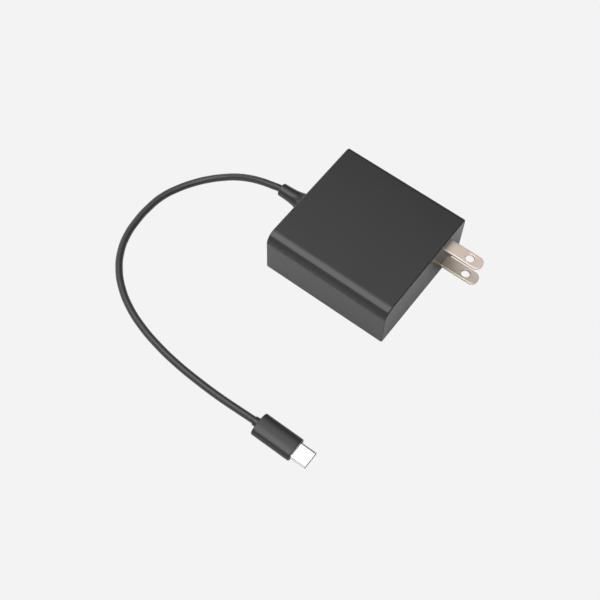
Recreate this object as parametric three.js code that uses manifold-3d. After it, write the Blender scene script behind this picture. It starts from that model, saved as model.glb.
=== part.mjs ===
// USB wall charger with fixed flat blades and a short captive USB-C cable.
// Millimetres, +Z up. The origin is the centre of the base, +X points out of the plug face.
import * as THREE from 'three';
import { mergeVertices } from 'three/addons/utils/BufferGeometryUtils.js';
import Module from 'manifold-3d';

const wasm = await Module();
wasm.setup();

// ---- Driving dimensions ----
// Housing
const bodyLength = 62.4;
const bodyWidth = 60.4;
const bodyHeight = 24.3;
const wall = 2.2;
const frontRadius = 5.5;
const backRadius = 2.1;
const backRadiusInside = 0.4;
const gap = 0.3;
// Base cover, let into a step around the open underside
const coverThickness = 1.7;
const rimWidth = 1.2;
// Blades of a two-pin plug
const bladeWidth = 6.35;
const bladeThickness = 1.5;
const bladeSpacing = 12.7;
const bladeReach = 17.2;
const bladeHole = 4;
const bladeHoleReach = 11;
const bladeY = 17.5;
const bladeMiddleZ = 11.9;
const bladeTipCorner = 2.8;
const bladeTailX = 18.5;
const bladeTailLength = 3;
const bladeTailWidth = 4;
// Main board and the room above it
const boardBottom = 4;
const boardThickness = 1.6;
const boardHalfLength = 27.5;
const boardHalfWidth = 26.8;
// Cable and its strain relief
const cableDiameter = 3.3;
const reliefZ = 12;
const reliefTipX = -46.1;
const reliefNeckRadius = 3.7;
const reliefFlangeRadius = 5.4;
const reliefFlangeThickness = 1.8;
// USB-C connector, lying flat on the surface that the charger stands on
const plugY = -92.5;
const plugThickness = 6.2;
const plugWidth = 10.95;
const plugRearX = 13.5;
const plugLength = 19.15;
const plugWall = 0.7;
const plugEndWall = 1.8;
const collarRadius = 2.25;
const collarRearRadius = 2.05;
const collarLength = 2.3;
const tubeWidth = 8.25;
const tubeThickness = 2.4;
const tubeReach = 7.35;
const tubeWall = 0.25;

// ---- Sizes that follow from them ----
const endX = bodyLength / 2;
const sideY = bodyWidth / 2;
const innerX = endX - wall;
const innerY = sideY - wall;
const ceiling = bodyHeight - wall;
const boardTop = boardBottom + boardThickness;
const floorOfParts = boardTop + gap;
const upperBladeZ = bladeMiddleZ + bladeSpacing / 2;
const lowerBladeZ = bladeMiddleZ - bladeSpacing / 2;
const plugZ = plugThickness / 2;
const plugFrontX = plugRearX + plugLength;
const tubeTipX = plugFrontX + tubeReach;

// The free cable: out of the relief, down to the surface, round a wide bend and up to the connector.
const cableRoute = [
  [reliefTipX - gap, 0, reliefZ],
  [-50.5, -0.5, 11.5],
  [-56.5, -1.3, 10.4],
  [-62.5, -2.5, 8.8],
  [-68.5, -4.3, 6.7],
  [-74, -7, 4.6],
  [-79.5, -11.1, 2.9],
  [-84.1, -16.4, 2],
  [-88, -23.2, 1.75],
  [-90.8, -31, 1.75],
  [-91.7, -39.5, 1.75],
  [-91.3, -48, 1.75],
  [-89.5, -57, 1.75],
  [-86, -64.9, 1.75],
  [-80.5, -72.2, 1.75],
  [-73, -78.6, 1.75],
  [-64, -83.7, 1.75],
  [-54, -87.4, 1.75],
  [-43, -90, 1.75],
  [-31, -91.7, 1.75],
  [-18, -92.5, 1.75],
  [-7, -92.7, 1.85],
  [3, -92.6, 2.45],
  [plugRearX - collarLength - gap, plugY, plugZ],
];

// ---- Materials ----
function finish(color, roughness, metalness) {
  return new THREE.MeshStandardMaterial({ color, roughness, metalness });
}

const housingPlastic = () => finish('#3f3f41', 0.45, 0);
const jacketRubber = () => finish('#38383a', 0.5, 0);
const bladeMetal = () => finish('#c9bbab', 0.3, 1);
const polishedSteel = () => finish('#d9d9d6', 0.2, 1);
const boardLaminate = () => finish('#2f5b39', 0.6, 0);
const mouldedEpoxy = () => finish('#1b1b1d', 0.55, 0);
const yellowFilm = () => finish('#d8b13a', 0.5, 0);
const ferriteGrey = () => finish('#4a4a4c', 0.7, 0);
const copperWire = () => finish('#b4683c', 0.35, 1);
const aluminiumSheet = () => finish('#b9bcc0', 0.35, 1);
const capacitorSleeve = () => finish('#23303f', 0.4, 0);
const blueCeramic = () => finish('#3c72b0', 0.5, 0);
const whiteCeramic = () => finish('#e4e0d6', 0.5, 0);
const liner = () => finish('#141416', 0.5, 0);
const thermalSilicone = () => finish('#9aa6b0', 0.8, 0);
const redWire = () => finish('#a8322c', 0.5, 0);
const blackWire = () => finish('#202022', 0.5, 0);
const whiteWire = () => finish('#d8d8d4', 0.5, 0);

// ---- Geometry helpers ----
// Which way a drawn outline is turned before it is extruded: outline x, outline y, extrusion.
const alongX = new THREE.Matrix4().makeBasis(
  new THREE.Vector3(0, 1, 0),
  new THREE.Vector3(0, 0, 1),
  new THREE.Vector3(1, 0, 0),
);
const alongZ = new THREE.Matrix4();

function extrude(outline, from, to, direction, curveSegments = 6) {
  const options = { depth: to - from, bevelEnabled: false, curveSegments };
  const geometry = new THREE.ExtrudeGeometry(outline, options);
  geometry.translate(0, 0, from);
  return geometry.applyMatrix4(direction);
}

// A block between two values on each axis, given in either order.
function box(x0, x1, y0, y1, z0, z1) {
  const size = [x1 - x0, y1 - y0, z1 - z0].map(Math.abs);
  return new THREE.BoxGeometry(...size).translate((x0 + x1) / 2, (y0 + y1) / 2, (z0 + z1) / 2);
}

// A rectangle centred on (x, y) with all four corners rounded.
function roundedRectangle(x, y, width, height, radius) {
  const left = x - width / 2;
  const right = x + width / 2;
  const bottom = y - height / 2;
  const top = y + height / 2;
  const outline = new THREE.Shape();
  outline.absarc(right - radius, bottom + radius, radius, -Math.PI / 2, 0);
  outline.absarc(right - radius, top - radius, radius, 0, Math.PI / 2);
  outline.absarc(left + radius, top - radius, radius, Math.PI / 2, Math.PI);
  outline.absarc(left + radius, bottom + radius, radius, Math.PI, Math.PI * 1.5);
  return outline;
}

function roundedBlock(x, y, width, depth, radius, z0, z1) {
  return extrude(roundedRectangle(x, y, width, depth, radius), z0, z1, alongZ, 3);
}

// A flat oval, as wide as it says and with half-round sides, swept along X on the connector's axis.
function ovalBar(width, thickness, x0, x1) {
  const outline = roundedRectangle(plugY, plugZ, width, thickness, thickness / 2 - 0.001);
  return extrude(outline, x0, x1, alongX, 5);
}

// A turned piece from [radius, height] pairs that start and end on the axis, standing along Z.
function turned(profile, segments) {
  const points = profile.map(([radius, height]) => new THREE.Vector2(radius, height));
  return new THREE.LatheGeometry(points, segments).rotateX(Math.PI / 2);
}

function cylinderZ(x, y, radius, z0, z1, segments) {
  const geometry = new THREE.CylinderGeometry(radius, radius, z1 - z0, segments);
  return geometry.rotateX(Math.PI / 2).translate(x, y, (z0 + z1) / 2);
}

function cylinderX(y, z, radius, x0, x1, segments) {
  const geometry = new THREE.CylinderGeometry(radius, radius, x1 - x0, segments);
  return geometry.rotateZ(Math.PI / 2).translate((x0 + x1) / 2, y, z);
}

// A round wire or cable through the listed points.
function tube(points, diameter, sides, steps) {
  const path = new THREE.CatmullRomCurve3(points.map((point) => new THREE.Vector3(...point)));
  const section = new THREE.Shape();
  for (let side = 0; side < sides; side += 1) {
    const angle = (2 * Math.PI * side) / sides;
    const x = (diameter / 2) * Math.cos(angle);
    const y = (diameter / 2) * Math.sin(angle);
    if (side === 0) section.moveTo(x, y);
    else section.lineTo(x, y);
  }
  return new THREE.ExtrudeGeometry(section, { steps, bevelEnabled: false, extrudePath: path });
}

// ---- Joining and cutting ----
function toSolid(geometry) {
  const bare = geometry.clone();
  bare.deleteAttribute('normal');
  bare.deleteAttribute('uv');
  const merged = mergeVertices(bare, 1e-4);
  const vertProperties = new Float32Array(merged.attributes.position.array);
  const triVerts = new Uint32Array(merged.index.array);
  return new wasm.Manifold(new wasm.Mesh({ numProp: 3, vertProperties, triVerts }));
}

function toGeometry(solid) {
  const mesh = solid.getMesh();
  const geometry = new THREE.BufferGeometry();
  geometry.setAttribute('position', new THREE.BufferAttribute(mesh.vertProperties, 3));
  geometry.setIndex(new THREE.BufferAttribute(mesh.triVerts, 1));
  const flat = geometry.toNonIndexed();
  flat.computeVertexNormals();
  return flat;
}

function combine(base, { add = [], cut = [] }) {
  let solid = toSolid(base);
  for (const geometry of add) solid = solid.add(toSolid(geometry));
  for (const geometry of cut) solid = solid.subtract(toSolid(geometry));
  return toGeometry(solid);
}

// ---- Assembly ----
const charger = new THREE.Group();

function place(name, geometry, material, x = 0, y = 0, z = 0) {
  const mesh = new THREE.Mesh(geometry, material);
  mesh.name = name;
  mesh.position.set(x, y, z);
  charger.add(mesh);
  return mesh;
}

// ---- Housing ----
// The section across the body: a large radius on the upper front edge, a small one on the upper far edge.
function bodySection(inset, bottom) {
  const side = sideY - inset;
  const top = bodyHeight - inset;
  const radius = frontRadius - inset;
  const small = Math.max(backRadius - inset, backRadiusInside);
  const outline = new THREE.Shape();
  outline.moveTo(-side, bottom);
  outline.lineTo(-side, top - radius);
  outline.absarc(-side + radius, top - radius, radius, Math.PI, Math.PI / 2, true);
  outline.absarc(side - small, top - small, small, Math.PI / 2, 0, true);
  outline.lineTo(side, bottom);
  return outline;
}

const coverHalfX = endX - rimWidth - gap;
const coverHalfY = sideY - rimWidth - gap;
const coverCorner = 0.8;
const ledge = coverThickness + gap;

// Two stiffening ribs inside each long side, sunk a little into the wall and the ceiling.
function sideRibs() {
  const ribX = 12;
  const ribHalf = 0.7;
  const ribDepth = 1.65;
  const sunk = 0.25;
  return [-ribX, ribX].flatMap((x) => [-1, 1].map((side) => {
    const inner = side * (innerY - ribDepth);
    const outer = side * (innerY + sunk);
    return box(x - ribHalf, x + ribHalf, inner, outer, floorOfParts, ceiling + sunk);
  }));
}

function bladeSlot(z) {
  const width = bladeWidth + 2 * gap;
  const height = bladeThickness + 2 * gap;
  const corner = 0.2;
  return extrude(roundedRectangle(bladeY, z, width, height, corner), innerX - 1, endX + 1, alongX, 2);
}

// A five-sided moulding, open underneath. Each cutter runs 1 mm past what it cuts.
function housingShell() {
  const outer = extrude(bodySection(0, 0), -endX, endX, alongX, 8);
  const cavity = extrude(bodySection(wall, -1), -innerX, innerX, alongX, 8);
  const stepLength = 2 * (coverHalfX + gap);
  const stepWidth = 2 * (coverHalfY + gap);
  const step = roundedBlock(0, 0, stepLength, stepWidth, coverCorner + gap, -1, ledge);
  const hollow = combine(outer, { cut: [cavity, step] });
  const reliefHole = cylinderX(0, reliefZ, reliefNeckRadius + gap, -endX - 1, -innerX + 1, 24);
  return combine(hollow, {
    add: sideRibs(),
    cut: [bladeSlot(upperBladeZ), bladeSlot(lowerBladeZ), reliefHole],
  });
}

// A plate with four posts that hold the board up.
function baseCover() {
  const postRadius = 2;
  const postPlaces = [
    [-22, -21],
    [-22, 21],
    [11, -22.5],
    [14, 23.5],
  ];
  const plate = roundedBlock(0, 0, 2 * coverHalfX, 2 * coverHalfY, coverCorner, 0, coverThickness);
  const add = postPlaces.map(([x, y]) => (
    cylinderZ(x, y, postRadius, coverThickness / 2, boardBottom - gap, 16)
  ));
  return combine(plate, { add });
}

place('housing_shell', housingShell(), housingPlastic());
place('base_cover', baseCover(), housingPlastic());

// ---- Plug blades ----
// Flat strip with a round-cornered tip, a hole and a narrow tail for the lead.
function blade() {
  const tip = endX + bladeReach;
  const half = bladeWidth / 2;
  const corner = bladeTipCorner;
  const shoulder = bladeTailX + bladeTailLength;
  const tailHalf = bladeTailWidth / 2;
  const outline = new THREE.Shape();
  outline.moveTo(bladeTailX, -tailHalf);
  outline.lineTo(shoulder, -tailHalf);
  outline.lineTo(shoulder, -half);
  outline.absarc(tip - corner, -half + corner, corner, -Math.PI / 2, 0);
  outline.absarc(tip - corner, half - corner, corner, 0, Math.PI / 2);
  outline.lineTo(shoulder, half);
  outline.lineTo(shoulder, tailHalf);
  outline.lineTo(bladeTailX, tailHalf);
  const hole = new THREE.Path();
  hole.absarc(endX + bladeHoleReach, 0, bladeHole / 2, 0, 2 * Math.PI);
  outline.holes.push(hole);
  return extrude(outline, -bladeThickness / 2, bladeThickness / 2, alongZ, 8);
}

place('blade_upper', blade(), bladeMetal(), 0, bladeY, upperBladeZ);
place('blade_lower', blade(), bladeMetal(), 0, bladeY, lowerBladeZ);

// Block behind the plug face that holds both blades apart.
function bladeCarrier() {
  const back = 22;
  const front = innerX - gap;
  const width = 13;
  const corner = 0.6;
  const middle = (back + front) / 2;
  const block = roundedBlock(middle, bladeY, front - back, width, corner, ledge + gap, ceiling - gap);
  const slotHalf = bladeWidth / 2 + gap;
  const slotHalfHeight = bladeThickness / 2 + gap;
  const cut = [upperBladeZ, lowerBladeZ].map((z) => (
    box(back - 1, front + 1, bladeY - slotHalf, bladeY + slotHalf, z - slotHalfHeight, z + slotHalfHeight)
  ));
  return combine(block, { cut });
}

place('blade_carrier', bladeCarrier(), liner());

// ---- Main board ----
// Notched where the blades and their carrier come down to its level.
function mainBoard() {
  const notchX = bladeTailX - gap;
  const notchY = bladeY - 7;
  const outline = new THREE.Shape();
  outline.moveTo(-boardHalfLength, -boardHalfWidth);
  outline.lineTo(boardHalfLength, -boardHalfWidth);
  outline.lineTo(boardHalfLength, notchY);
  outline.lineTo(notchX, notchY);
  outline.lineTo(notchX, boardHalfWidth);
  outline.lineTo(-boardHalfLength, boardHalfWidth);
  return extrude(outline, boardBottom, boardTop, alongZ);
}

place('main_board', mainBoard(), boardLaminate());

// Where each part stands on the board, as [x, y].
const boardPlaces = {
  fuse: [13.5, 18.4],
  filter_capacitor: [7.3, 18.9],
  line_choke_core: [-2, 19],
  line_choke_winding: [-2, 19],
  bridge_rectifier: [14.3, 8.6],
  bulk_capacitor_front: [20.8, -19.3],
  bulk_capacitor_middle: [20.8, -6.5],
  heat_spreader: [1.5, 3.8],
  switching_transistor: [1.5, 6.9],
  safety_capacitor: [-9.5, 10],
  optocoupler: [-11.5, 3.6],
  insulation_barrier: [-11.75, -13],
  output_capacitor_front: [-17.5, -19.6],
  output_capacitor_middle: [-17.5, -10.4],
  output_rectifier: [-19, -2.2],
  power_delivery_board: [-17, 14.5],
  power_delivery_controller: [-18.3, 14.5],
};

function placeOnBoard(name, geometry, material, lift = 0) {
  const [x, y] = boardPlaces[name];
  return place(name, geometry, material, x, y, floorOfParts + lift);
}

// A plain block that stands on z = 0, centred on the part's own place.
function standingBlock(length, width, height) {
  return box(-length / 2, length / 2, -width / 2, width / 2, 0, height);
}

// Leads from the blade tails to the board.
const leadDiameter = 1.6;
const lineLead = [
  [19.9, bladeY, upperBladeZ - bladeThickness / 2 - gap],
  [19.7, bladeY, 14.5],
  [17.9, 17, 9.5],
  [17.1, 16.6, floorOfParts],
];
const neutralLead = [
  [20, 18.6, lowerBladeZ + bladeThickness / 2 + gap],
  [19.9, 19.2, 9],
  [18.4, 20.2, 10],
  [17.1, 20.8, 8.4],
  [17, 20.9, floorOfParts],
];
place('line_lead', tube(lineLead, leadDiameter, 8, 8), blackWire());
place('neutral_lead', tube(neutralLead, leadDiameter, 8, 10), whiteWire());

// ---- Mains input parts ----
const fuseRadius = 2.1;

// Ceramic tube with a wider cap on each end, lying along Y.
function fuse() {
  const half = 5;
  const capLength = 1.8;
  const capRadius = fuseRadius;
  const tubeRadius = fuseRadius - 0.3;
  const profile = [
    [0, -half],
    [capRadius, -half],
    [capRadius, -half + capLength],
    [tubeRadius, -half + capLength],
    [tubeRadius, half - capLength],
    [capRadius, half - capLength],
    [capRadius, half],
    [0, half],
  ];
  return turned(profile, 16).rotateX(Math.PI / 2);
}

placeOnBoard('fuse', fuse(), whiteCeramic(), fuseRadius + 0.1);
placeOnBoard('filter_capacitor', roundedBlock(0, 0, 6, 12, 0.5, 0, 11), yellowFilm());

// Drum choke: a flanged ferrite core with its winding in the waist.
const chokeHeight = 12;
const chokeRadius = 5;
const chokeWaist = 2.4;
const chokeFlange = 1.6;

function chokeCore() {
  const profile = [
    [0, 0],
    [chokeRadius, 0],
    [chokeRadius, chokeFlange],
    [chokeWaist, chokeFlange],
    [chokeWaist, chokeHeight - chokeFlange],
    [chokeRadius, chokeHeight - chokeFlange],
    [chokeRadius, chokeHeight],
    [0, chokeHeight],
  ];
  return turned(profile, 20);
}

// A ring of rectangular section, closed on itself.
function ring(inner, outer, z0, z1, segments) {
  return turned([[inner, z0], [outer, z0], [outer, z1], [inner, z1], [inner, z0]], segments);
}

function chokeWinding() {
  const bottom = chokeFlange + gap;
  return ring(chokeWaist + gap, chokeRadius - 0.5, bottom, chokeHeight - bottom, 20);
}

placeOnBoard('line_choke_core', chokeCore(), ferriteGrey());
placeOnBoard('line_choke_winding', chokeWinding(), copperWire());

// Two feet on each long side of a chip: their places along X, half width, and reach in Y.
function chipFeet(xs, half, from, to, height) {
  return xs.flatMap((x) => [-1, 1].map((side) => (
    box(x - half, x + half, side * from, side * to, 0, height)
  )));
}

function bridgeRectifier() {
  const add = chipFeet([-2.5, 2.5], 0.4, 2.9, 3.9, 1.1);
  return combine(roundedBlock(0, 0, 8, 6, 0.4, 0.3, 3.3), { add });
}

placeOnBoard('bridge_rectifier', bridgeRectifier(), mouldedEpoxy());

// Electrolytic can: rolled groove near the foot and a slightly domed top.
function canCapacitor(radius, height, segments) {
  const profile = [
    [0, 0],
    [radius - 0.3, 0],
    [radius, 0.4],
    [radius, 1.6],
    [radius - 0.5, 2.1],
    [radius, 2.6],
    [radius, height - 0.6],
    [radius - 0.6, height],
    [0, height],
  ];
  return turned(profile, segments);
}

for (const name of ['bulk_capacitor_front', 'bulk_capacitor_middle']) {
  placeOnBoard(name, canCapacitor(6, 15.2, 20), capacitorSleeve());
}

// ---- Transformer ----
// Two ferrite E halves face each other along X, with the bobbin on their middle legs.
const transformerX = 1.5;
const transformerY = -10;
const coreZ = 13;
const coreHalf = 10;
const coreThickness = 6;
const coreBack = 3.4;
const middleLeg = 6;
const outerLeg = 3;
const bobbinWall = 0.7;
const bobbinHalf = 6.2;
const flangeHalf = 6.6;
const flangeThickness = 0.8;
const windingOuter = 5.6;
const tapeThickness = 0.4;

function coreHalfPiece(side) {
  const half = coreThickness / 2;
  const legEnd = (side * gap) / 2;
  const back = side * (coreHalf - coreBack);
  const end = side * coreHalf;
  const leg = (y0, y1) => box(legEnd, end, y0, y1, -half, half);
  return combine(box(back, end, -coreHalf, coreHalf, -half, half), {
    add: [
      leg(-middleLeg / 2, middleLeg / 2),
      leg(-coreHalf, -coreHalf + outerLeg),
      leg(coreHalf - outerLeg, coreHalf),
    ],
  });
}

// A square tube with a flange and a foot rail at each end.
function transformerBobbin() {
  const inner = middleLeg / 2 + gap;
  const outer = inner + bobbinWall;
  const flangeFace = bobbinHalf - flangeThickness;
  const railBottom = floorOfParts - coreZ;
  const railTop = -coreThickness / 2 - gap;
  const add = [-1, 1].flatMap((side) => [
    box(side * flangeFace, side * bobbinHalf, -flangeHalf, flangeHalf, -flangeHalf, flangeHalf),
    box(side * flangeFace, side * (coreHalf - gap), -flangeHalf, flangeHalf, railBottom, railTop),
  ]);
  return combine(box(-bobbinHalf, bobbinHalf, -outer, outer, -outer, outer), {
    add,
    cut: [box(-bobbinHalf - 1, bobbinHalf + 1, -inner, inner, -inner, inner)],
  });
}

// A square sleeve around the bobbin, between its flanges.
function sleeve(inner, outer) {
  const half = bobbinHalf - flangeThickness - gap;
  return combine(box(-half, half, -outer, outer, -outer, outer), {
    cut: [box(-half - 1, half + 1, -inner, inner, -inner, inner)],
  });
}

function placeTransformer(name, geometry, material) {
  return place(name, geometry, material, transformerX, transformerY, coreZ);
}

placeTransformer('transformer_core_plug_side', coreHalfPiece(1), ferriteGrey());
placeTransformer('transformer_core_cable_side', coreHalfPiece(-1), ferriteGrey());
placeTransformer('transformer_bobbin', transformerBobbin(), liner());
const windingInner = middleLeg / 2 + bobbinWall + 2 * gap;
placeTransformer('transformer_winding', sleeve(windingInner, windingOuter), copperWire());
const tapeInner = windingOuter + gap;
placeTransformer('transformer_tape', sleeve(tapeInner, tapeInner + tapeThickness), yellowFilm());

// Soft pad that carries heat from the transformer to the housing.
const padHalf = 5;
const padBottom = flangeHalf + gap;
const padTop = ceiling - gap - coreZ;
const pad = box(-padHalf, padHalf, -padHalf, padHalf, padBottom, padTop);
placeTransformer('thermal_pad', pad, thermalSilicone());

// ---- Switching side ----
// The transistor stands on three legs against an upright metal sheet.
function switchingTransistor() {
  const legPitch = 2.5;
  const legHalf = 0.4;
  const add = [-legPitch, 0, legPitch].map((x) => (
    box(x - legHalf, x + legHalf, -legHalf, legHalf, 0, 3)
  ));
  return combine(box(-5, 5, -2.2, 2.2, 2.5, 14.5), { add });
}

placeOnBoard('heat_spreader', standingBlock(15, 1.2, 13), aluminiumSheet());
placeOnBoard('switching_transistor', switchingTransistor(), mouldedEpoxy());

// ---- Parts that bridge the two sides ----
// A chamfered disc on two legs.
function safetyCapacitor() {
  const discZ = 5.2;
  const legPitch = 2.5;
  const legHalf = 0.35;
  const disc = turned([[0, -1.4], [3.2, -1.4], [4, -0.6], [4, 0.6], [3.2, 1.4], [0, 1.4]], 20);
  const standing = disc.rotateX(Math.PI / 2).translate(0, 0, discZ);
  const add = [-legPitch, legPitch].map((x) => (
    box(x - legHalf, x + legHalf, -legHalf, legHalf, 0, 3)
  ));
  return combine(standing, { add });
}

function optocoupler() {
  const add = chipFeet([-1.3, 1.3], 0.3, 2.9, 4.1, 1.6);
  return combine(box(-2.3, 2.3, -3.2, 3.2, 0.4, 3.8), { add }).rotateZ(Math.PI / 2);
}

placeOnBoard('safety_capacitor', safetyCapacitor(), blueCeramic());
placeOnBoard('optocoupler', optocoupler(), whiteCeramic());
placeOnBoard('insulation_barrier', standingBlock(0.5, 24, 14), liner());

// ---- Low-voltage output parts ----
for (const name of ['output_capacitor_front', 'output_capacitor_middle']) {
  placeOnBoard(name, canCapacitor(4, 11, 18), capacitorSleeve());
}
placeOnBoard('output_rectifier', roundedBlock(0, 0, 6.4, 6, 0.3, 0, 2.3), mouldedEpoxy());
placeOnBoard('power_delivery_board', standingBlock(1, 19, 13.5), boardLaminate());
placeOnBoard('power_delivery_controller', standingBlock(1, 5, 5), mouldedEpoxy(), 4.6);

// ---- Strain relief in the cable face ----
// Turned about X: an inner flange, a neck through the wall, and a sleeve that tapers to a rounded tip.
const flangeFace = innerX - gap;
const flangeBack = flangeFace - reliefFlangeThickness;

// Radius of the sleeve at a share of its length, from 0 at the tip to 1 at the cable face.
function sleeveRadius(share) {
  return 3.09 + 0.25 * share + 2.56 * share ** 3;
}

function strainRelief() {
  const tip = -reliefTipX;
  const shares = [1, 0.87, 0.72, 0.55, 0.38, 0.2, 0.035];
  const profile = [
    [0, flangeBack],
    [reliefFlangeRadius, flangeBack],
    [reliefFlangeRadius, flangeFace],
    [reliefNeckRadius, flangeFace],
    [reliefNeckRadius, endX + gap],
    ...shares.map((share) => [sleeveRadius(share), tip - share * (tip - endX - gap)]),
    [sleeveRadius(0) - 0.5, tip],
    [0, tip],
  ];
  return turned(profile, 24).rotateY(-Math.PI / 2).translate(0, 0, reliefZ);
}

place('strain_relief', strainRelief(), jacketRubber());

// Leads from the end of the cable to the board: where each starts, as [y, z], and ends, as [x, y].
const leadStartX = gap - flangeBack;
const outputLeads = {
  output_lead_positive: { start: [-1.8, 11.5], end: [-22.6, -7.5], material: redWire() },
  output_lead_ground: { start: [0, 13], end: [-23.2, 0.6], material: blackWire() },
  output_lead_signal: { start: [1.8, 11.5], end: [-22.6, 8], material: whiteWire() },
};
for (const [name, { start, end, material }] of Object.entries(outputLeads)) {
  const [startY, startZ] = start;
  const [endLeadX, endLeadY] = end;
  const route = [
    [leadStartX, startY, startZ],
    [leadStartX + 0.8, startY, startZ],
    [endLeadX, endLeadY, floorOfParts + 2.6],
    [endLeadX, endLeadY, floorOfParts],
  ];
  place(name, tube(route, 1.1, 8, 9), material);
}

// ---- Free cable ----
place('output_cable', tube(cableRoute, cableDiameter, 8, 28), jacketRubber());

// ---- USB-C connector ----
const pocketRearX = plugRearX + plugEndWall;
const pocketFrontX = plugFrontX - plugEndWall;
const pocketWidth = plugWidth - 2 * plugWall;
const pocketThickness = plugThickness - 2 * plugWall;
const reliefBlockFrontX = pocketRearX + 3.5;
const shellRearX = pocketFrontX - 1;

// An oval shell with a pocket inside, a mouth for the metal tube and a round hole for the neck.
function connectorCover() {
  const outer = ovalBar(plugWidth, plugThickness, plugRearX, plugFrontX);
  const pocket = ovalBar(pocketWidth, pocketThickness, pocketRearX, pocketFrontX);
  const mouth = ovalBar(tubeWidth + 2 * gap, tubeThickness + 2 * gap, pocketFrontX - 1, plugFrontX + 1);
  const rearHole = cylinderX(plugY, plugZ, collarRadius + gap, plugRearX - 1, pocketRearX + 1, 20);
  return combine(outer, { cut: [pocket, mouth, rearHole] });
}

// A tapered neck behind the cover, on a block that fills the rear of the pocket.
function connectorStrainRelief() {
  const profile = [
    [0, -reliefBlockFrontX],
    [collarRadius, -reliefBlockFrontX],
    [collarRadius, -plugRearX],
    [collarRearRadius, collarLength - plugRearX],
    [0, collarLength - plugRearX],
  ];
  const neck = turned(profile, 20).rotateY(-Math.PI / 2).translate(0, plugY, plugZ);
  const blockWidth = pocketWidth - 2 * gap;
  const blockThickness = pocketThickness - 2 * gap;
  const block = ovalBar(blockWidth, blockThickness, pocketRearX + gap, reliefBlockFrontX);
  return combine(block, { add: [neck] });
}

function connectorShell() {
  const outer = ovalBar(tubeWidth, tubeThickness, shellRearX, tubeTipX);
  const boreWidth = tubeWidth - 2 * tubeWall;
  const boreThickness = tubeThickness - 2 * tubeWall;
  return combine(outer, { cut: [ovalBar(boreWidth, boreThickness, shellRearX - 1, tubeTipX + 1)] });
}

// Plastic liner of the metal tube, with the slot that the socket's tongue enters.
const insertClearance = 0.08;
const slotHeightInside = 0.8;
const slotWidthInside = 6.6;
const insertFrontX = tubeTipX - 0.25;
const slotRearX = shellRearX + 1.2;

function connectorInsert() {
  const width = tubeWidth - 2 * (tubeWall + insertClearance);
  const thickness = tubeThickness - 2 * (tubeWall + insertClearance);
  const slot = box(
    slotRearX,
    insertFrontX + 1,
    plugY - slotWidthInside / 2,
    plugY + slotWidthInside / 2,
    plugZ - slotHeightInside / 2,
    plugZ + slotHeightInside / 2,
  );
  return combine(ovalBar(width, thickness, shellRearX + 0.3, insertFrontX), { cut: [slot] });
}

// Twelve spring fingers on one strip, lying against the upper or lower side of the slot.
function contactRow(side) {
  const pitch = 0.5;
  const fingers = 12;
  const fingerHalf = 0.13;
  const thickness = 0.12;
  const outer = plugZ + side * (slotHeightInside / 2 - 0.06);
  const inner = outer - side * thickness;
  const stripRear = slotRearX + 0.1;
  const stripFront = stripRear + 0.8;
  const half = (fingers * pitch) / 2;
  const strip = box(stripRear, stripFront, plugY - half, plugY + half, inner, outer);
  const add = [];
  for (let index = 0; index < fingers; index += 1) {
    const y = plugY - half + pitch * (index + 0.5);
    add.push(box(stripFront - 0.3, insertFrontX - 1.5, y - fingerHalf, y + fingerHalf, inner, outer));
  }
  return combine(strip, { add });
}

place('connector_strain_relief', connectorStrainRelief(), jacketRubber());
place('connector_cover', connectorCover(), housingPlastic());
place('connector_shell', connectorShell(), polishedSteel());
place('connector_insert', connectorInsert(), liner());
place('contact_row_upper', contactRow(1), bladeMetal());
place('contact_row_lower', contactRow(-1), bladeMetal());
const paddle = box(reliefBlockFrontX + 0.5, shellRearX - gap, -3.8, 3.8, -0.4, 0.4);
place('connector_board', paddle, boardLaminate(), 0, plugY, plugZ);

export default charger;
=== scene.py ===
"""USB wall charger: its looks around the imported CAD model, in metres, in the model's own frame.

+X points out of the plug face, +Z is up, and the cable leaves the -X face.
"""

import math

import bmesh
import bpy
from mathutils import Matrix, Vector


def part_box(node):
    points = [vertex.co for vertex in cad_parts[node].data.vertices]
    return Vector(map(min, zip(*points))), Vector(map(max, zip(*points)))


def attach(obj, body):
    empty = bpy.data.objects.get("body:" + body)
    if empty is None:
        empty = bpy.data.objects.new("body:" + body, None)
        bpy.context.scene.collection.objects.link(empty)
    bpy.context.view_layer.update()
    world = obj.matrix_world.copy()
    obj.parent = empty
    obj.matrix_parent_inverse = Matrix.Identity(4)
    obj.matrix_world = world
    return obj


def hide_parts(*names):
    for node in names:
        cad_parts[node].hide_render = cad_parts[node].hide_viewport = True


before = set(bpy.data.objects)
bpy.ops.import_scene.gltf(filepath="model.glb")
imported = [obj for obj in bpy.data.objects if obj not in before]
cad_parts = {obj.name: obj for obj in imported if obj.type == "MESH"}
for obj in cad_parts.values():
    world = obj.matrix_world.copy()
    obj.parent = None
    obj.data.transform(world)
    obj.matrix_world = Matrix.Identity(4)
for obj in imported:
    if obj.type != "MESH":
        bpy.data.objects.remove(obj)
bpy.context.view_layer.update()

MM = 0.001
BODY = "root"

# ---- Sizes: places come from the frame, and edge radii are set here ----
shell_low, shell_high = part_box("housing_shell")
cover_low, cover_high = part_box("base_cover")
relief_low, relief_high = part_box("strain_relief")
plug_low, plug_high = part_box("connector_cover")
neck_low, neck_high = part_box("connector_strain_relief")
tube_low, tube_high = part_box("connector_shell")
liner_low, liner_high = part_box("connector_insert")

FRONT_RADIUS = 5.5 * MM
BACK_RADIUS = 2.1 * MM
LOWER_RADIUS = 0.9 * MM
END_RADIUS = 0.7 * MM
WALL = 2.2 * MM
PAST = 1 * MM  # how far a cutter runs past what it cuts

RELIEF_NECK = 3.7 * MM
RELIEF_FLANGE = 5.4 * MM
RELIEF_FLANGE_THICKNESS = 1.8 * MM

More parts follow.
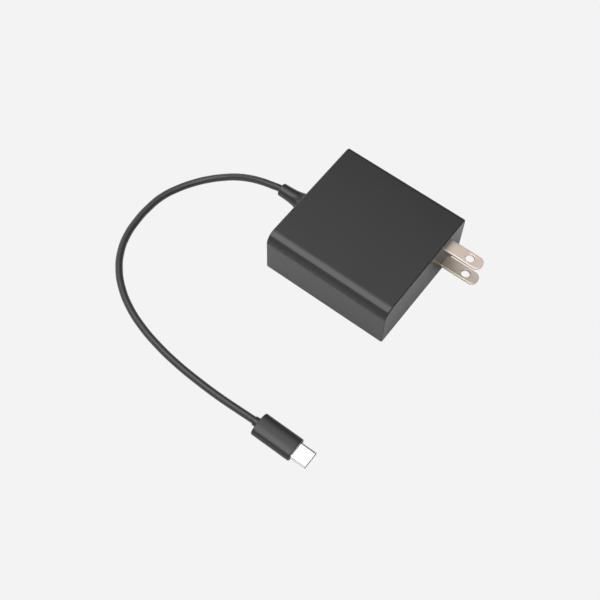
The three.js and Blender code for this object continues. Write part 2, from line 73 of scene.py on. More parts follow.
CABLE_DIAMETER = 3.3 * MM
CABLE_ROUTE = [
    (-0.0452, 0, 0.0120),
    (-0.0467, 0, 0.0120),
    (-0.0505, -0.0005, 0.0115),
    (-0.0565, -0.0013, 0.0104),
    (-0.0625, -0.0025, 0.0088),
    (-0.0685, -0.0043, 0.0067),
    (-0.0740, -0.0070, 0.0046),
    (-0.0795, -0.0111, 0.0029),
    (-0.0841, -0.0164, 0.0020),
    (-0.0880, -0.0232, 0.00175),
    (-0.0908, -0.0310, 0.00175),
    (-0.0917, -0.0395, 0.00175),
    (-0.0913, -0.0480, 0.00175),
    (-0.0895, -0.0570, 0.00175),
    (-0.0860, -0.0649, 0.00175),
    (-0.0805, -0.0722, 0.00175),
    (-0.0730, -0.0786, 0.00175),
    (-0.0640, -0.0837, 0.00175),
    (-0.0540, -0.0874, 0.00175),
    (-0.0430, -0.0900, 0.00175),
    (-0.0310, -0.0917, 0.00175),
    (-0.0180, -0.0925, 0.00175),
    (-0.0070, -0.0927, 0.00185),
    (0.0030, -0.0926, 0.00245),
    (0.0109, -0.0925, 0.0031),
    (0.0120, -0.0925, 0.0031),
]


# ---- Camera ----
CAMERA_PLACE = (0.128614, -0.230859, 0.431475)
CAMERA_AZIMUTH = 35.06  # degrees, from looking along +Y
CAMERA_ELEVATION = 60.96
CAMERA_ROLL = 2.39
CAMERA_LENS = 67.82
CAMERA_SENSOR = 36


def add_camera():
    """Looks down on the charger from its front right, rolled a little."""
    azimuth = math.radians(CAMERA_AZIMUTH)
    elevation = math.radians(CAMERA_ELEVATION)
    roll = math.radians(CAMERA_ROLL)
    back = Vector(
        (
            math.sin(azimuth) * math.cos(elevation),
            -math.cos(azimuth) * math.cos(elevation),
            math.sin(elevation),
        )
    )
    level = Vector((0, 0, 1)).cross(back).normalized()
    upright = back.cross(level)
    right = math.cos(roll) * level + math.sin(roll) * upright
    up = back.cross(right)
    data = bpy.data.cameras.new("camera")
    data.lens = CAMERA_LENS
    data.sensor_width = CAMERA_SENSOR
    data.clip_start = 0.01
    data.clip_end = 20
    camera = bpy.data.objects.new("camera", data)
    turn = Matrix((right, up, back)).transposed()
    camera.matrix_world = Matrix.LocRotScale(Vector(CAMERA_PLACE), turn, None)
    bpy.context.scene.collection.objects.link(camera)
    bpy.context.scene.camera = camera


# ---- Node helpers ----
def node(tree, kind, inputs=None, **settings):
    """Adds a node, sets its settings, and links or sets its inputs."""
    made = tree.nodes.new(kind)
    for name, value in settings.items():
        setattr(made, name, value)
    for name, value in (inputs or {}).items():
        feed(tree, made.inputs[name], value)
    return made


def feed(tree, socket, value):
    if isinstance(value, bpy.types.NodeSocket):
        tree.links.new(value, socket)
    else:
        socket.default_value = value


def places(tree, stretch=(1, 1, 1)):
    """Points in the model's frame, in metres, squeezed along each axis by stretch."""
    inputs = {"Vector": node(tree, "ShaderNodeTexCoord").outputs["Object"], "Scale": stretch}
    return node(tree, "ShaderNodeMapping", inputs).outputs["Vector"]


def grain(tree, size, detail=2.0, stretch=(1, 1, 1)):
    """Noise from 0 to 1 whose lumps are about size across."""
    inputs = {"Vector": places(tree, stretch), "Scale": 1 / size, "Detail": detail}
    return node(tree, "ShaderNodeTexNoise", inputs).outputs["Fac"]


def spread(tree, factor, low, high, start=0.3, end=0.7):
    """Takes a factor from start..end to low..high."""
    inputs = {"Value": factor, "From Min": start, "From Max": end, "To Min": low, "To Max": high}
    return node(tree, "ShaderNodeMapRange", inputs).outputs["Result"]


def blend(tree, factor, first, second):
    """A colour between two colours or colour sockets."""
    mixer = node(tree, "ShaderNodeMix", data_type="RGBA")
    feed(tree, mixer.inputs["Factor"], factor)
    for name, value in (("A", first), ("B", second)):
        colour = value if isinstance(value, bpy.types.NodeSocket) else (*value, 1)
        feed(tree, [s for s in mixer.inputs if s.name == name and s.type == "RGBA"][0], colour)
    return [s for s in mixer.outputs if s.type == "RGBA"][0]


def add(tree, first, second, weight):
    """first + second * weight."""
    inputs = {0: second, 1: weight, 2: first}
    return node(tree, "ShaderNodeMath", inputs, operation="MULTIPLY_ADD").outputs[0]


def edges(tree, radius):
    """1 along convex and concave edges, 0 away from them."""
    rounded = node(tree, "ShaderNodeBevel", {"Radius": radius}, samples=4).outputs["Normal"]
    true = node(tree, "ShaderNodeNewGeometry").outputs["Normal"]
    dot = node(tree, "ShaderNodeVectorMath", {0: rounded, 1: true}, operation="DOT_PRODUCT")
    return spread(tree, dot.outputs["Value"], 1, 0, start=0.86, end=0.995)


def bump(tree, height, depth):
    """A normal from a height that runs from 0 to 1, depth metres deep."""
    inputs = {"Height": height, "Strength": 1.0, "Distance": depth}
    return node(tree, "ShaderNodeBump", inputs).outputs["Normal"]


def new_material(name, metallic=0.0, **sockets):
    """A Principled material; the sockets named here are the same all over the surface."""
    material = bpy.data.materials.new(name)
    material.use_nodes = True
    shader = material.node_tree.nodes["Principled BSDF"]
    shader.inputs["Metallic"].default_value = metallic
    for socket, value in sockets.items():
        shader.inputs[socket.replace("_", " ")].default_value = value
    return material, material.node_tree, shader


def dress(tree, shader, colour, roughness, normal):
    tree.links.new(colour, shader.inputs["Base Color"])
    tree.links.new(roughness, shader.inputs["Roughness"])
    tree.links.new(normal, shader.inputs["Normal"])


# ---- Materials ----
def satin_plastic(name, shade, roughness):
    """Moulded charcoal plastic: a spark-eroded grain, faint flow marks and slightly rubbed edges."""
    material, tree, shader = new_material(name, Specular_IOR_Level=0.5)
    flow = grain(tree, 14 * MM, detail=3)
    fine = grain(tree, 0.35 * MM, detail=2)
    rubbed = edges(tree, 0.5 * MM)
    darker = tuple(0.92 * value for value in shade)
    lighter = tuple(1.08 * value for value in shade)
    worn = tuple(1.35 * value for value in shade)
    colour = blend(tree, rubbed, blend(tree, flow, darker, lighter), worn)
    patchy = spread(tree, flow, roughness - 0.015, roughness + 0.015)
    gloss = add(tree, patchy, fine, 0.03)
    dress(tree, shader, colour, gloss, bump(tree, fine, 0.004 * MM))
    return material


def soft_rubber(name, shade, roughness):
    """Soft elastomer: a finer, shallower grain than the housing's and a faint bloom."""
    material, tree, shader = new_material(name, Specular_IOR_Level=0.5, Sheen_Weight=0.03)
    bloom = grain(tree, 5 * MM, detail=4)
    fine = grain(tree, 0.22 * MM, detail=2)
    darker = tuple(0.9 * value for value in shade)
    lighter = tuple(1.12 * value for value in shade)
    gloss = add(tree, spread(tree, bloom, roughness - 0.03, roughness + 0.03), fine, 0.03)
    dress(tree, shader, blend(tree, bloom, darker, lighter), gloss, bump(tree, fine, 0.0012 * MM))
    return material


def drawn_metal(name, shade, roughness, streak=0.06 * MM, contrast=0.06, grazing=1.0):
    """Plated strip: fine rolling marks along X, soft smudges and brighter rubbed edges.

    grazing dims its reflections where the surface turns away.
    """
    tint = (grazing, grazing, grazing, 1)
    material, tree, shader = new_material(name, metallic=1.0, Specular_Tint=tint)
    streaks = grain(tree, streak, detail=2, stretch=(0.02, 1, 1))
    smudges = grain(tree, 3.5 * MM, detail=3)
    rubbed = edges(tree, 0.25 * MM)
    darker = tuple((1 - contrast) * value for value in shade)
    brighter = tuple(min(1.0, (1 + contrast) * value) for value in shade)
    colour = blend(tree, rubbed, blend(tree, smudges, darker, shade), brighter)
    gloss = add(tree, spread(tree, smudges, roughness - 0.03, roughness + 0.04), streaks, 0.06)
    dress(tree, shader, colour, gloss, bump(tree, streaks, 0.0008 * MM))
    return material


def plain_moulding(name, shade, roughness, grain_size=0.3 * MM, contrast=0.12):
    """The finish of most small parts inside: a slightly uneven colour and a fine grain."""
    material, tree, shader = new_material(name)
    uneven = grain(tree, 2.5 * MM, detail=3)
    fine = grain(tree, grain_size, detail=3)
    darker = tuple((1 - contrast) * value for value in shade)
    lighter = tuple((1 + contrast) * value for value in shade)
    gloss = add(tree, spread(tree, uneven, roughness - 0.04, roughness + 0.04), fine, 0.06)
    dress(tree, shader, blend(tree, uneven, darker, lighter), gloss, bump(tree, fine, 0.01 * MM))
    return material


def laminate():
    """Green solder mask over copper tracks, which show as lighter raised lines."""
    material, tree, shader = new_material("board_laminate", Coat_Weight=0.3)
    points = places(tree)
    cells = {"Vector": points, "Scale": 1 / (2.6 * MM)}
    options = {"feature": "DISTANCE_TO_EDGE", "distance": "MANHATTAN"}
    tracks = node(tree, "ShaderNodeTexVoronoi", cells, **options)
    lines = spread(tree, tracks.outputs["Distance"], 1, 0, start=0.06, end=0.10)
    weave = grain(tree, 0.25 * MM, detail=2)
    green = blend(tree, weave, (0.022, 0.105, 0.045), (0.030, 0.135, 0.058))
    colour = blend(tree, lines, green, (0.060, 0.230, 0.090))
    height = add(tree, weave, lines, 1.5)
    dress(tree, shader, colour, spread(tree, weave, 0.30, 0.42), bump(tree, height, 0.01 * MM))
    return material


def wound_copper():
    """Turns of enamelled wire lying side by side."""
    material, tree, shader = new_material("copper_winding", metallic=1.0, Coat_Weight=0.5)
    inputs = {"Vector": places(tree), "Scale": 1 / (0.9 * MM), "Distortion": 0.4, "Detail": 1.0}
    turns = node(tree, "ShaderNodeTexWave", inputs, bands_direction="DIAGONAL").outputs["Fac"]
    patchy = grain(tree, 2 * MM, detail=3)
    colour = blend(tree, patchy, (0.36, 0.13, 0.05), (0.62, 0.27, 0.12))
    dress(tree, shader, colour, spread(tree, patchy, 0.25, 0.38), bump(tree, turns, 0.08 * MM))
    return material


def capacitor_sleeve():
    """Shrunk navy sleeve with a pale stripe down the side that faces the plug."""
    material, tree, shader = new_material("capacitor_sleeve", Coat_Weight=0.2)
    normal = node(tree, "ShaderNodeNewGeometry").outputs["Normal"]
    facing = node(tree, "ShaderNodeSeparateXYZ", {0: normal})
    stripe = spread(tree, facing.outputs["X"], 0, 1, start=0.92, end=0.93)
    wrinkles = grain(tree, 0.8 * MM, detail=3, stretch=(1, 1, 0.25))
    navy = blend(tree, wrinkles, (0.012, 0.020, 0.034), (0.018, 0.030, 0.050))
    colour = blend(tree, stripe, navy, (0.42, 0.45, 0.50))
    dress(tree, shader, colour, spread(tree, wrinkles, 0.28, 0.40), bump(tree, wrinkles, 0.02 * MM))
    return material


def speckled_ferrite():
    """Sintered ferrite: nearly black, with fine grey specks and pores."""
    material, tree, shader = new_material("ferrite")
    cells = {"Vector": places(tree), "Scale": 1 / (0.35 * MM)}
    specks = node(tree, "ShaderNodeTexVoronoi", cells).outputs["Distance"]
    colour = blend(tree, specks, (0.075, 0.075, 0.080), (0.035, 0.035, 0.038))
    dress(tree, shader, colour, spread(tree, specks, 0.45, 0.7), bump(tree, specks, 0.02 * MM))
    return material


MATERIALS = {
    "housing_plastic": satin_plastic("housing_plastic", (0.022, 0.022, 0.0222), 0.23),
    "connector_plastic": satin_plastic("connector_plastic", (0.022, 0.022, 0.0222), 0.31),
    "relief_rubber": soft_rubber("relief_rubber", (0.019, 0.019, 0.0192), 0.26),
    "cable_jacket": soft_rubber("cable_jacket", (0.024, 0.024, 0.0243), 0.34),
    "blade_metal": drawn_metal("blade_metal", (0.875, 0.76, 0.655), 0.36, contrast=0.04),
    "shell_metal": drawn_metal("shell_metal", (0.96, 0.96, 0.95), 0.16, 0.04 * MM, grazing=0.2),
    "contact_metal": drawn_metal("contact_metal", (0.92, 0.70, 0.34), 0.2, streak=0.03 * MM),
    "aluminium_sheet": drawn_metal("aluminium_sheet", (0.62, 0.63, 0.64), 0.35),
    "insulating_plastic": plain_moulding("insulating_plastic", (0.016, 0.016, 0.018), 0.45),
    "board_laminate": laminate(),
    "semiconductor_epoxy": plain_moulding("semiconductor_epoxy", (0.014, 0.014, 0.015), 0.55),
    "yellow_film": plain_moulding("yellow_film", (0.68, 0.44, 0.05), 0.32, 0.6 * MM),
    "ferrite": speckled_ferrite(),
    "copper_winding": wound_copper(),
    "capacitor_sleeve": capacitor_sleeve(),
    "blue_lacquer": plain_moulding("blue_lacquer", (0.030, 0.115, 0.360), 0.22, 0.5 * MM),
    "white_ceramic": plain_moulding("white_ceramic", (0.76, 0.74, 0.68), 0.40, 0.25 * MM, 0.05),
    "thermal_silicone": plain_moulding("thermal_silicone", (0.33, 0.37, 0.42), 0.70, 0.2 * MM),
    "red_wire": plain_moulding("red_wire", (0.42, 0.028, 0.020), 0.42),
    "black_wire": plain_moulding("black_wire", (0.018, 0.018, 0.018), 0.42),
    "white_wire": plain_moulding("white_wire", (0.70, 0.70, 0.67), 0.42, contrast=0.05),
}


# ---- Outlines ----
def arc(centre, radius, start, steps):
    """A quarter turn anticlockwise from start, in degrees, both ends included."""
    points = []
    for step in range(steps + 1):
        angle = math.radians(start + 90 * step / steps)
        points.append((centre[0] + radius * math.cos(angle), centre[1] + radius * math.sin(angle)))
    return points


def rounded_outline(left, right, bottom, top, radii, steps):
    """A rectangle with a radius for each corner, from the lower left one anticlockwise."""
    corners = [
        (left, bottom, 1, 1),
        (right, bottom, -1, 1),
        (right, top, -1, -1),
        (left, top, 1, -1),
    ]
    points = []
    for index, (x, y, inward_x, inward_y) in enumerate(corners):
        radius = radii[index]
        centre = (x + inward_x * radius, y + inward_y * radius)
        points += arc(centre, radius, 180 + 90 * index, steps)
    return points


def oval(centre, width, height, steps=12):
    """An oval with half-round sides, or a circle where width and height are the same."""
    x, y = centre
    flat = 0.002 * MM  # keeps two arcs from meeting in one point
    radius = min(width, height) / 2 - flat
    left, right = x - width / 2, x + width / 2
    bottom, top = y - height / 2, y + height / 2
    return rounded_outline(left, right, bottom, top, [radius] * 4, steps)


def pillow(centre, width, height, steps=12):
    """A softly crowned oval, with as many points as oval() gives and in the same order."""
    count = 4 * (steps + 1)
    points = []
    for index in range(count):
        angle = math.pi + 2 * math.pi * (index + 0.5) / count
        sideways = math.copysign(abs(math.cos(angle)) ** (2 / 3), math.cos(angle))
        points.append((centre[0] + width / 2 * sideways, centre[1] + height / 2 * math.sin(angle)))
    return points


def across_x(outline, x):
    return [Vector((x, first, second)) for first, second in outline]


def across_z(outline, z):
    return [Vector((first, second, z)) for first, second in outline]


def rounding(radius, steps=4):
    """How far along and how far in each ring of a rounded end lies, from its end face on."""
    for step in range(steps + 1):
        angle = math.radians(90 * step / steps)
        yield radius * (1 - math.cos(angle)), radius * (1 - math.sin(angle))


# ---- Mesh helpers ----
def new_piece(name, mesh):
    piece = bpy.data.objects.new(name, mesh)
    bpy.context.scene.collection.objects.link(piece)
    return piece


def loft(name, rings, closed=False):
    """A skin from ring to ring, with flat end caps unless it closes on itself."""
    form = bmesh.new()
    rows = [[form.verts.new(point) for point in ring] for ring in rings]
    pairs = list(zip(rows, rows[1:]))
    if closed:
        pairs.append((rows[-1], rows[0]))
    else:
        form.faces.new(rows[0])
        form.faces.new(rows[-1])
    for near, far in pairs:
        for index in range(len(near)):
            after = (index + 1) % len(near)
            form.faces.new((near[index], near[after], far[after], far[index]))
    bmesh.ops.recalc_face_normals(form, faces=form.faces)
    mesh = bpy.data.meshes.new(name)
    form.to_mesh(mesh)
    form.free()
    return new_piece(name, mesh)


def carve(piece, others, operation="DIFFERENCE"):
    """Cuts the others out of a piece, or joins them to it, and deletes them."""
    for other in others:
        modifier = piece.modifiers.new(operation.lower(), "BOOLEAN")
        modifier.operation = operation
        modifier.solver = "EXACT"
        modifier.object = other
    graph = bpy.context.evaluated_depsgraph_get()
    carved = bpy.data.meshes.new_from_object(piece.evaluated_get(graph))
    piece.modifiers.clear()
    piece.data = carved
    for other in others:
        bpy.data.objects.remove(other)
    return piece


def shade(piece, sharp_degrees=40):
    """Smooth shading that keeps sharp edges crisp and flat faces flat."""
    piece.data.shade_smooth()
    piece.data.set_sharp_from_angle(angle=math.radians(sharp_degrees))
    modifier = piece.modifiers.new("even_shading", "WEIGHTED_NORMAL")
    modifier.keep_sharp = True


def settle(piece, slot, *nodes):
    """Gives a finished piece the material of its slot and its body, and hides the CAD nodes that it
    stands for.
    """
    piece.data.materials.clear()
    piece.data.materials.append(MATERIALS[slot])
    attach(piece, BODY)
    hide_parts(*nodes)
    return piece


# ---- Housing ----
def shell_section(inset):
    """The housing's section across X, with its largest radius on the upper front edge."""
    corners = (LOWER_RADIUS, LOWER_RADIUS, BACK_RADIUS, FRONT_RADIUS)
    radii = [radius - inset for radius in corners]
    return rounded_outline(
        shell_low.y + inset,
        shell_high.y - inset,
        shell_low.z + inset,
        shell_high.z - inset,
        radii,
        steps=14,
    )


def shell_body():
    rings = []
    for along, inset in rounding(END_RADIUS):
        rings.append(across_x(shell_section(inset), shell_low.x + along))
    for along, inset in reversed(list(rounding(END_RADIUS))):
        rings.append(across_x(shell_section(inset), shell_high.x - along))
    return loft("housing", rings)


def shell_cavity():
    corner = 0.5 * MM
    outline = rounded_outline(
        shell_low.y + WALL,
        shell_high.y - WALL,
        shell_low.z - PAST,
        shell_high.z - WALL,
        [corner, corner, corner, FRONT_RADIUS - WALL],
        steps=8,
    )
    return loft("cavity", [across_x(outline, x) for x in (shell_low.x + WALL, shell_high.x - WALL)])


def cover_outline(grow):
    radius = 0.8 * MM + grow
    return rounded_outline(
        cover_low.x - grow,
        cover_high.x + grow,
        cover_low.y - grow,
        cover_high.y + grow,
        [radius] * 4,
        steps=5,
    )


COVER_SEAM = 0.15 * MM
COVER_THICKNESS = 1.7 * MM
EDGE_BREAK = 0.2 * MM


def cover_step():
    """Cuts the step that the base cover lies in, with a broken edge at the mouth."""
    mouth = COVER_SEAM + EDGE_BREAK
    rings = [
        across_z(cover_outline(mouth), shell_low.z - PAST),
        across_z(cover_outline(mouth), shell_low.z),
        across_z(cover_outline(COVER_SEAM), shell_low.z + EDGE_BREAK),
        across_z(cover_outline(COVER_SEAM), shell_low.z + COVER_THICKNESS + COVER_SEAM),
    ]
    return loft("step", rings)


def blade_slot(low, high):
    """Cuts a blade's slot through the plug face, wider than the blade and broken at the mouth."""
    seam = 0.08 * MM
    mouth_break = 0.12 * MM
    mouth = seam + mouth_break

    def outline(grow):
        radius = 0.2 * MM + grow
        return rounded_outline(
            low.y - grow, high.y + grow, low.z - grow, high.z + grow, [radius] * 4, steps=3
        )

    rings = [
        across_x(outline(seam), shell_high.x - WALL - PAST),
        across_x(outline(seam), shell_high.x - mouth_break),
        across_x(outline(mouth), shell_high.x),
        across_x(outline(mouth), shell_high.x + PAST),
    ]
    return loft("slot", rings)


def relief_axis():
    """Where the strain relief's axis crosses a plane across X, as (y, z)."""
    return ((relief_low.y + relief_high.y) / 2, (relief_low.z + relief_high.z) / 2)


def relief_hole():
    size = 2 * RELIEF_NECK + 0.1 * MM
    outline = oval(relief_axis(), size, size)
    ends = (shell_low.x - PAST, shell_low.x + WALL + PAST)
    return loft("hole", [across_x(outline, x) for x in ends])


def make_housing():
    cutters = [shell_cavity(), cover_step(), relief_hole()]
    cutters += [blade_slot(*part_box(name)) for name in ("blade_upper", "blade_lower")]
    housing = carve(shell_body(), cutters)
    shade(housing)
    return settle(housing, "housing_plastic", "housing_shell")


POSTS = ((-22, -21), (-22, 21), (11, -22.5), (14, 23.5))
POST_DIAMETER = 4 * MM


def make_base_plate():
    """A plate with broken edges and four posts for the board."""
    inner = cover_low.z + COVER_THICKNESS
    rings = []
    for along, inset in rounding(EDGE_BREAK):
        rings.append(across_z(cover_outline(-inset), cover_low.z + along))
    rings.append(across_z(cover_outline(0), inner))
    posts = []
    for x, y in POSTS:
        circle = oval((x * MM, y * MM), POST_DIAMETER, POST_DIAMETER, steps=6)
        posts.append(loft("post", [across_z(circle, inner / 2), across_z(circle, cover_high.z)]))
    plate = carve(loft("base_plate", rings), posts, "UNION")
    shade(plate)
    return settle(plate, "housing_plastic", "base_cover")


# ---- Plug blades ----
BLADE_HOLE_REACH = 11 * MM
BLADE_HOLE_RADIUS = 2 * MM


def blade_outline(low, high):
    """A strip with a round-cornered tip and a narrow tail, and its hole, both as (x, y) points."""
    tip_radius = 2.8 * MM
    tail_half = 2 * MM
    shoulder = low.x + 3 * MM
    middle = (low.y + high.y) / 2
    outline = [(low.x, middle - tail_half), (shoulder, middle - tail_half), (shoulder, low.y)]
    outline += arc((high.x - tip_radius, low.y + tip_radius), tip_radius, -90, 12)
    outline += arc((high.x - tip_radius, high.y - tip_radius), tip_radius, 0, 12)
    outline += [(shoulder, high.y), (shoulder, middle + tail_half), (low.x, middle + tail_half)]
    hole_x = shell_high.x + BLADE_HOLE_REACH
    hole = []
    for quarter in range(4):
        hole += arc((hole_x, middle), BLADE_HOLE_RADIUS, 90 * quarter, 10)[:-1]
    return outline, hole


def pressed_plate(name, outlines, low_z, high_z, edge):
    """A flat plate with rounded edges, from an outline and the holes in it."""
    curve = bpy.data.curves.new(name, "CURVE")
    curve.dimensions = "2D"
    curve.fill_mode = "BOTH"
    curve.extrude = (high_z - low_z) / 2 - edge
    curve.bevel_depth = edge
    curve.bevel_resolution = 3
    curve.offset = -edge
    for outline in outlines:
        spline = curve.splines.new("POLY")
        spline.points.add(len(outline) - 1)
        for point, (x, y) in zip(spline.points, outline):
            point.co = (x, y, 0, 1)
        spline.use_cyclic_u = True
    draft = new_piece(name, curve)
    graph = bpy.context.evaluated_depsgraph_get()
    mesh = bpy.data.meshes.new_from_object(draft.evaluated_get(graph))
    bpy.data.objects.remove(draft)
    mesh.transform(Matrix.Translation((0, 0, (low_z + high_z) / 2)))
    form = bmesh.new()
    form.from_mesh(mesh)
    bmesh.ops.remove_doubles(form, verts=form.verts, dist=0.001 * MM)
    bmesh.ops.recalc_face_normals(form, faces=form.faces)
    form.to_mesh(mesh)
    form.free()
    return new_piece(name, mesh)


def make_blade(name, cad_node):
    low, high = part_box(cad_node)
    blade = pressed_plate(name, blade_outline(low, high), low.z, high.z, edge=0.24 * MM)
    shade(blade)
    return settle(blade, "blade_metal", cad_node)


# ---- Strain relief and cable ----
def sleeve_radius(share):
    """The sleeve's radius, from its tip (0) to the wall (1): nearly straight, then a wide flare."""
    return (3.09 + 0.25 * share + 2.56 * share**3) * MM


def make_relief():
    """A turned boot: flange and neck inside, a flared sleeve outside, a bore in its tip."""
    wall_x = shell_low.x - 0.02 * MM
    tip_x = relief_low.x
    length = wall_x - tip_x
    tip_radius = 0.6 * MM
    bore = CABLE_DIAMETER / 2 + 0.06 * MM
    flange_face = relief_high.x - RELIEF_FLANGE_THICKNESS
    profile = [
        (relief_high.x, RELIEF_FLANGE),
        (flange_face, RELIEF_FLANGE),
        (flange_face, RELIEF_NECK),
        (wall_x, RELIEF_NECK),
    ]
    steps = 22
    for step in range(steps + 1):
        share = 1 - step / steps
        x = tip_x + tip_radius + (length - tip_radius) * share
        profile.append((x, sleeve_radius(share)))
    for along, inset in reversed(list(rounding(tip_radius, 5))[:-1]):
        profile.append((tip_x + along, sleeve_radius(0) - inset))
    profile += [
        (tip_x, bore + 0.1 * MM),
        (tip_x + 0.1 * MM, bore),
        (tip_x + 1.5 * MM, bore),
    ]
    rings = [across_x(oval(relief_axis(), 2 * radius, 2 * radius, 16), x) for x, radius in profile]
    relief = loft("cable_boot", rings)
    shade(relief)
    return settle(relief, "relief_rubber", "strain_relief")


def make_cable():
    curve = bpy.data.curves.new("cable", "CURVE")
    curve.dimensions = "3D"
    curve.bevel_depth = CABLE_DIAMETER / 2
    curve.bevel_resolution = 8
    curve.resolution_u = 10
    curve.use_fill_caps = True
    spline = curve.splines.new("BEZIER")
    spline.bezier_points.add(len(CABLE_ROUTE) - 1)
    for point, place in zip(spline.bezier_points, CABLE_ROUTE):
        point.co = place
        point.handle_left_type = "AUTO"
        point.handle_right_type = "AUTO"
    return settle(new_piece("cable", curve), "cable_jacket", "output_cable")


# ---- USB-C plug ----
def plug_axis():
    return ((plug_low.y + plug_high.y) / 2, (plug_low.z + plug_high.z) / 2)


def plug_oval(width, thickness):
    return oval(plug_axis(), width, thickness)


def make_plug_cover():
    """An oval shell with rounded ends: outside, mouth, pocket and rear hole in one closed skin."""
    width = plug_high.y - plug_low.y
    thickness = plug_high.z - plug_low.z
    end_radius = 0.5 * MM
    wall = 0.8 * MM
    end_wall = 1.8 * MM
    mouth_width = tube_high.y - tube_low.y + 0.12 * MM
    mouth_thickness = tube_high.z - tube_low.z + 0.12 * MM
    mouth_break = 0.15 * MM
    rear_bore = 2 * 2.27 * MM
    skin = []
    for along, inset in rounding(end_radius, 6):
        skin.append((plug_low.x + along, width - 2 * inset, thickness - 2 * inset))
    for along, inset in reversed(list(rounding(end_radius, 6))):
        skin.append((plug_high.x - along, width - 2 * inset, thickness - 2 * inset))
    inside = [
        (plug_high.x, mouth_width + 2 * mouth_break, mouth_thickness + 2 * mouth_break),
        (plug_high.x - mouth_break, mouth_width, mouth_thickness),
        (plug_high.x - end_wall, mouth_width, mouth_thickness),
        (plug_high.x - end_wall, width - 2 * wall, thickness - 2 * wall),
        (plug_low.x + end_wall, width - 2 * wall, thickness - 2 * wall),
        (plug_low.x + end_wall, rear_bore, rear_bore),
        (plug_low.x, rear_bore, rear_bore),
    ]
    rings = [across_x(pillow(plug_axis(), w, t), x) for x, w, t in skin]
    rings += [across_x(plug_oval(w, t), x) for x, w, t in inside]
    cover = loft("plug_cover", rings, closed=True)
    shade(cover)
    return settle(cover, "connector_plastic", "connector_cover")


def make_plug_neck():
    """The tapered neck behind the cover, bored for the cable, on the block inside the cover."""
    collar_radius = 2.25 * MM
    rear_radius = 2.05 * MM
    rear_round = 0.25 * MM
    bore = CABLE_DIAMETER / 2 + 0.04 * MM
    block_x = plug_low.x + 2.1 * MM
    block_width = neck_high.y - neck_low.y
    block_thickness = neck_high.z - neck_low.z
    rings = [
        (neck_low.x + 1.2 * MM, 2 * bore, 2 * bore),
        (neck_low.x + 0.08 * MM, 2 * bore, 2 * bore),
        (neck_low.x, 2 * bore + 0.12 * MM, 2 * bore + 0.12 * MM),
    ]
    for along, inset in rounding(rear_round):
        size = 2 * (rear_radius - inset)
        rings.append((neck_low.x + along, size, size))
    rings += [
        (plug_low.x, 2 * collar_radius, 2 * collar_radius),
        (block_x, 2 * collar_radius, 2 * collar_radius),
        (block_x, block_width, block_thickness),
        (neck_high.x, block_width, block_thickness),
    ]
    neck = loft("plug_neck", [across_x(plug_oval(w, t), x) for x, w, t in rings])
    shade(neck)
    return settle(neck, "relief_rubber", "connector_strain_relief")


def make_plug_tube():
    """The plug's drawn metal tube, with a rolled lip."""
    width = tube_high.y - tube_low.y
    thickness = tube_high.z - tube_low.z
    wall = 0.25 * MM
    lip = 0.12 * MM
    rings = [(tube_low.x, width, thickness)]
    for along, inset in reversed(list(rounding(lip))):
        rings.append((tube_high.x - along, width - 2 * inset, thickness - 2 * inset))
    for along, inset in rounding(lip):
        rings.append(
            (tube_high.x - along, width - 2 * wall + 2 * inset, thickness - 2 * wall + 2 * inset)
        )
    rings.append((tube_low.x, width - 2 * wall, thickness - 2 * wall))
    tube = loft("plug_tube", [across_x(plug_oval(w, t), x) for x, w, t in rings], closed=True)
    shade(tube)
    return settle(tube, "shell_metal", "connector_shell")


def make_plug_liner():
    """The black liner of the tube, with the slot that takes the socket's tongue."""
    width = liner_high.y - liner_low.y
    thickness = liner_high.z - liner_low.z
    slot_width = 6.6 * MM
    slot_height = 0.8 * MM
    slot_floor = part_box("contact_row_upper")[0].x - 0.1 * MM
    edge = 0.08 * MM
    rings = [
        (liner_low.x, width, thickness),
        (liner_high.x - edge, width, thickness),
        (liner_high.x, width - 2 * edge, thickness - 2 * edge),
        (liner_high.x, slot_width + 2 * edge, slot_height + 2 * edge),
        (liner_high.x - edge, slot_width, slot_height),
        (slot_floor, slot_width, slot_height),
    ]
    liner = loft("plug_liner", [across_x(plug_oval(w, t), x) for x, w, t in rings])
    shade(liner)
    return settle(liner, "insulating_plastic", "connector_insert")


# ---- CAD nodes that stay ----
def break_edges(piece, width):
    """Bevels a CAD node's sharp edges with modifiers, and leaves its mesh as it is."""
    weld = piece.modifiers.new("weld", "WELD")
    weld.merge_threshold = 0.001 * MM
    soften = piece.modifiers.new("broken_edges", "BEVEL")
    soften.width = width
    soften.segments = 2
    soften.limit_method = "ANGLE"
    soften.angle_limit = math.radians(40)
    soften.harden_normals = True


def dress_cad_node(piece):
    """Gives a CAD node the material of its slot, and broken edges where it is thick enough."""
    edge = 0.05 * MM
    low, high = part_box(piece.name)
    if min(high - low) > 4 * edge:
        break_edges(piece, edge)
    for slot in piece.material_slots:
        material = MATERIALS[slot.material.name]
        slot.link = "OBJECT"
        slot.material = material


# ---- Floor, lights and surroundings ----
PAPER = 0.896  # linear value of the pale studio paper, as the camera sees it
PAPER_REFLECTANCE = 0.71
DIM_LIGHT = 0.12


def paper_material():
    """Pale paper: evenly white to the camera, and a real matt floor to the object's reflections."""
    material = bpy.data.materials.new("studio_paper")
    material.use_nodes = True
    tree = material.node_tree
    tree.nodes.clear()
    even = node(tree, "ShaderNodeEmission", {"Color": (1, 1, 1, 1), "Strength": PAPER})
    matt = node(tree, "ShaderNodeBsdfDiffuse", {"Color": (*[PAPER_REFLECTANCE] * 3, 1)})
    seen = node(tree, "ShaderNodeLightPath").outputs["Is Camera Ray"]
    inputs = {0: seen, 1: matt.outputs["BSDF"], 2: even.outputs["Emission"]}
    mix = node(tree, "ShaderNodeMixShader", inputs)
    node(tree, "ShaderNodeOutputMaterial", {"Surface": mix.outputs["Shader"]})
    return material


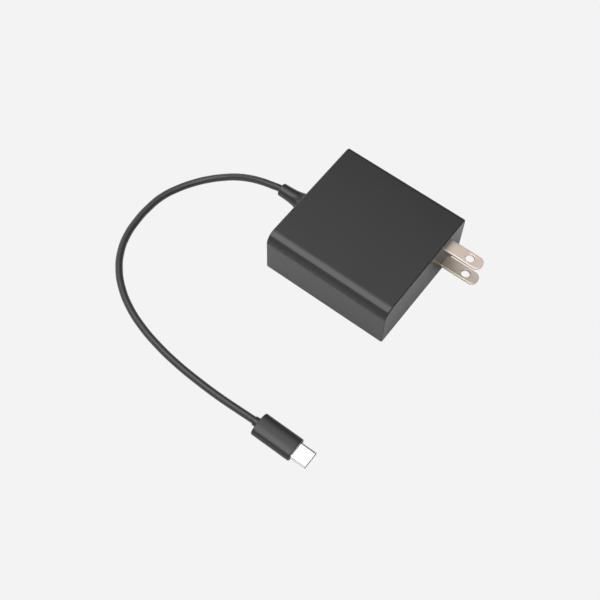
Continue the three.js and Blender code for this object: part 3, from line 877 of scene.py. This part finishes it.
def add_floor():
    outline = rounded_outline(-3, 3, -3, 3, [0.5] * 4, steps=8)
    form = bmesh.new()
    form.faces.new([form.verts.new(point) for point in across_z(outline, 0)])
    mesh = bpy.data.meshes.new("studio_floor")
    form.to_mesh(mesh)
    form.free()
    mesh.materials.append(paper_material())
    new_piece("studio_floor", mesh)


def add_softbox(name, place, facing, size, radiance):
    """A rectangular softbox; size is its width and its height or depth."""
    data = bpy.data.lights.new(name, "AREA")
    data.shape = "RECTANGLE"
    data.size, data.size_y = size
    data.energy = radiance * math.pi * size[0] * size[1]
    light = bpy.data.objects.new(name, data)
    light.location = place
    light.rotation_euler = Vector(facing).to_track_quat("-Z", "Y").to_euler()
    light.visible_camera = False
    bpy.context.scene.collection.objects.link(light)


def add_lights():
    down = (0, 0, -1)
    add_softbox("key_softbox", (-0.14, -0.38, 0.75), down, (1.2, 0.80), radiance=3.0)
    add_softbox("top_softbox", (-0.14, 0.12, 0.75), down, (1.2, 0.20), radiance=1.6)
    add_softbox("far_softbox", (-0.14, 0.36, 0.75), down, (1.2, 0.28), radiance=0.67)
    add_softbox("cable_side_panel", (-1, 0, 0.41), (1, 0, 0), (1.6, 0.38), radiance=2.0)
    add_softbox("front_panel", (0, -1, 0.31), (0, 1, 0), (1.6, 0.59), radiance=0.4)


def add_surroundings():
    """Pale paper behind the object for the camera, and a dim even light for everything else."""
    world = bpy.data.worlds.new("studio")
    world.use_nodes = True
    tree = world.node_tree
    background = tree.nodes["Background"]
    background.inputs["Color"].default_value = (1, 1, 1, 1)
    camera_ray = node(tree, "ShaderNodeLightPath").outputs["Is Camera Ray"]
    strength = spread(tree, camera_ray, DIM_LIGHT, PAPER, start=0, end=1)
    tree.links.new(strength, background.inputs["Strength"])
    bpy.context.scene.world = world


# ---- Assembly ----
add_camera()
cable = make_cable()
make_housing()
make_base_plate()
make_blade("upper_blade", "blade_upper")
make_blade("lower_blade", "blade_lower")
make_relief()
plug_pieces = [make_plug_cover(), make_plug_neck(), make_plug_tube(), make_plug_liner()]
for name in ("contact_row_upper", "contact_row_lower", "connector_board"):
    plug_pieces.append(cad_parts[name])
for cad_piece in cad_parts.values():
    if not cad_piece.hide_render:
        dress_cad_node(cad_piece)

add_floor()
add_lights()
add_surroundings()
bpy.context.scene.view_settings.view_transform = "Standard"
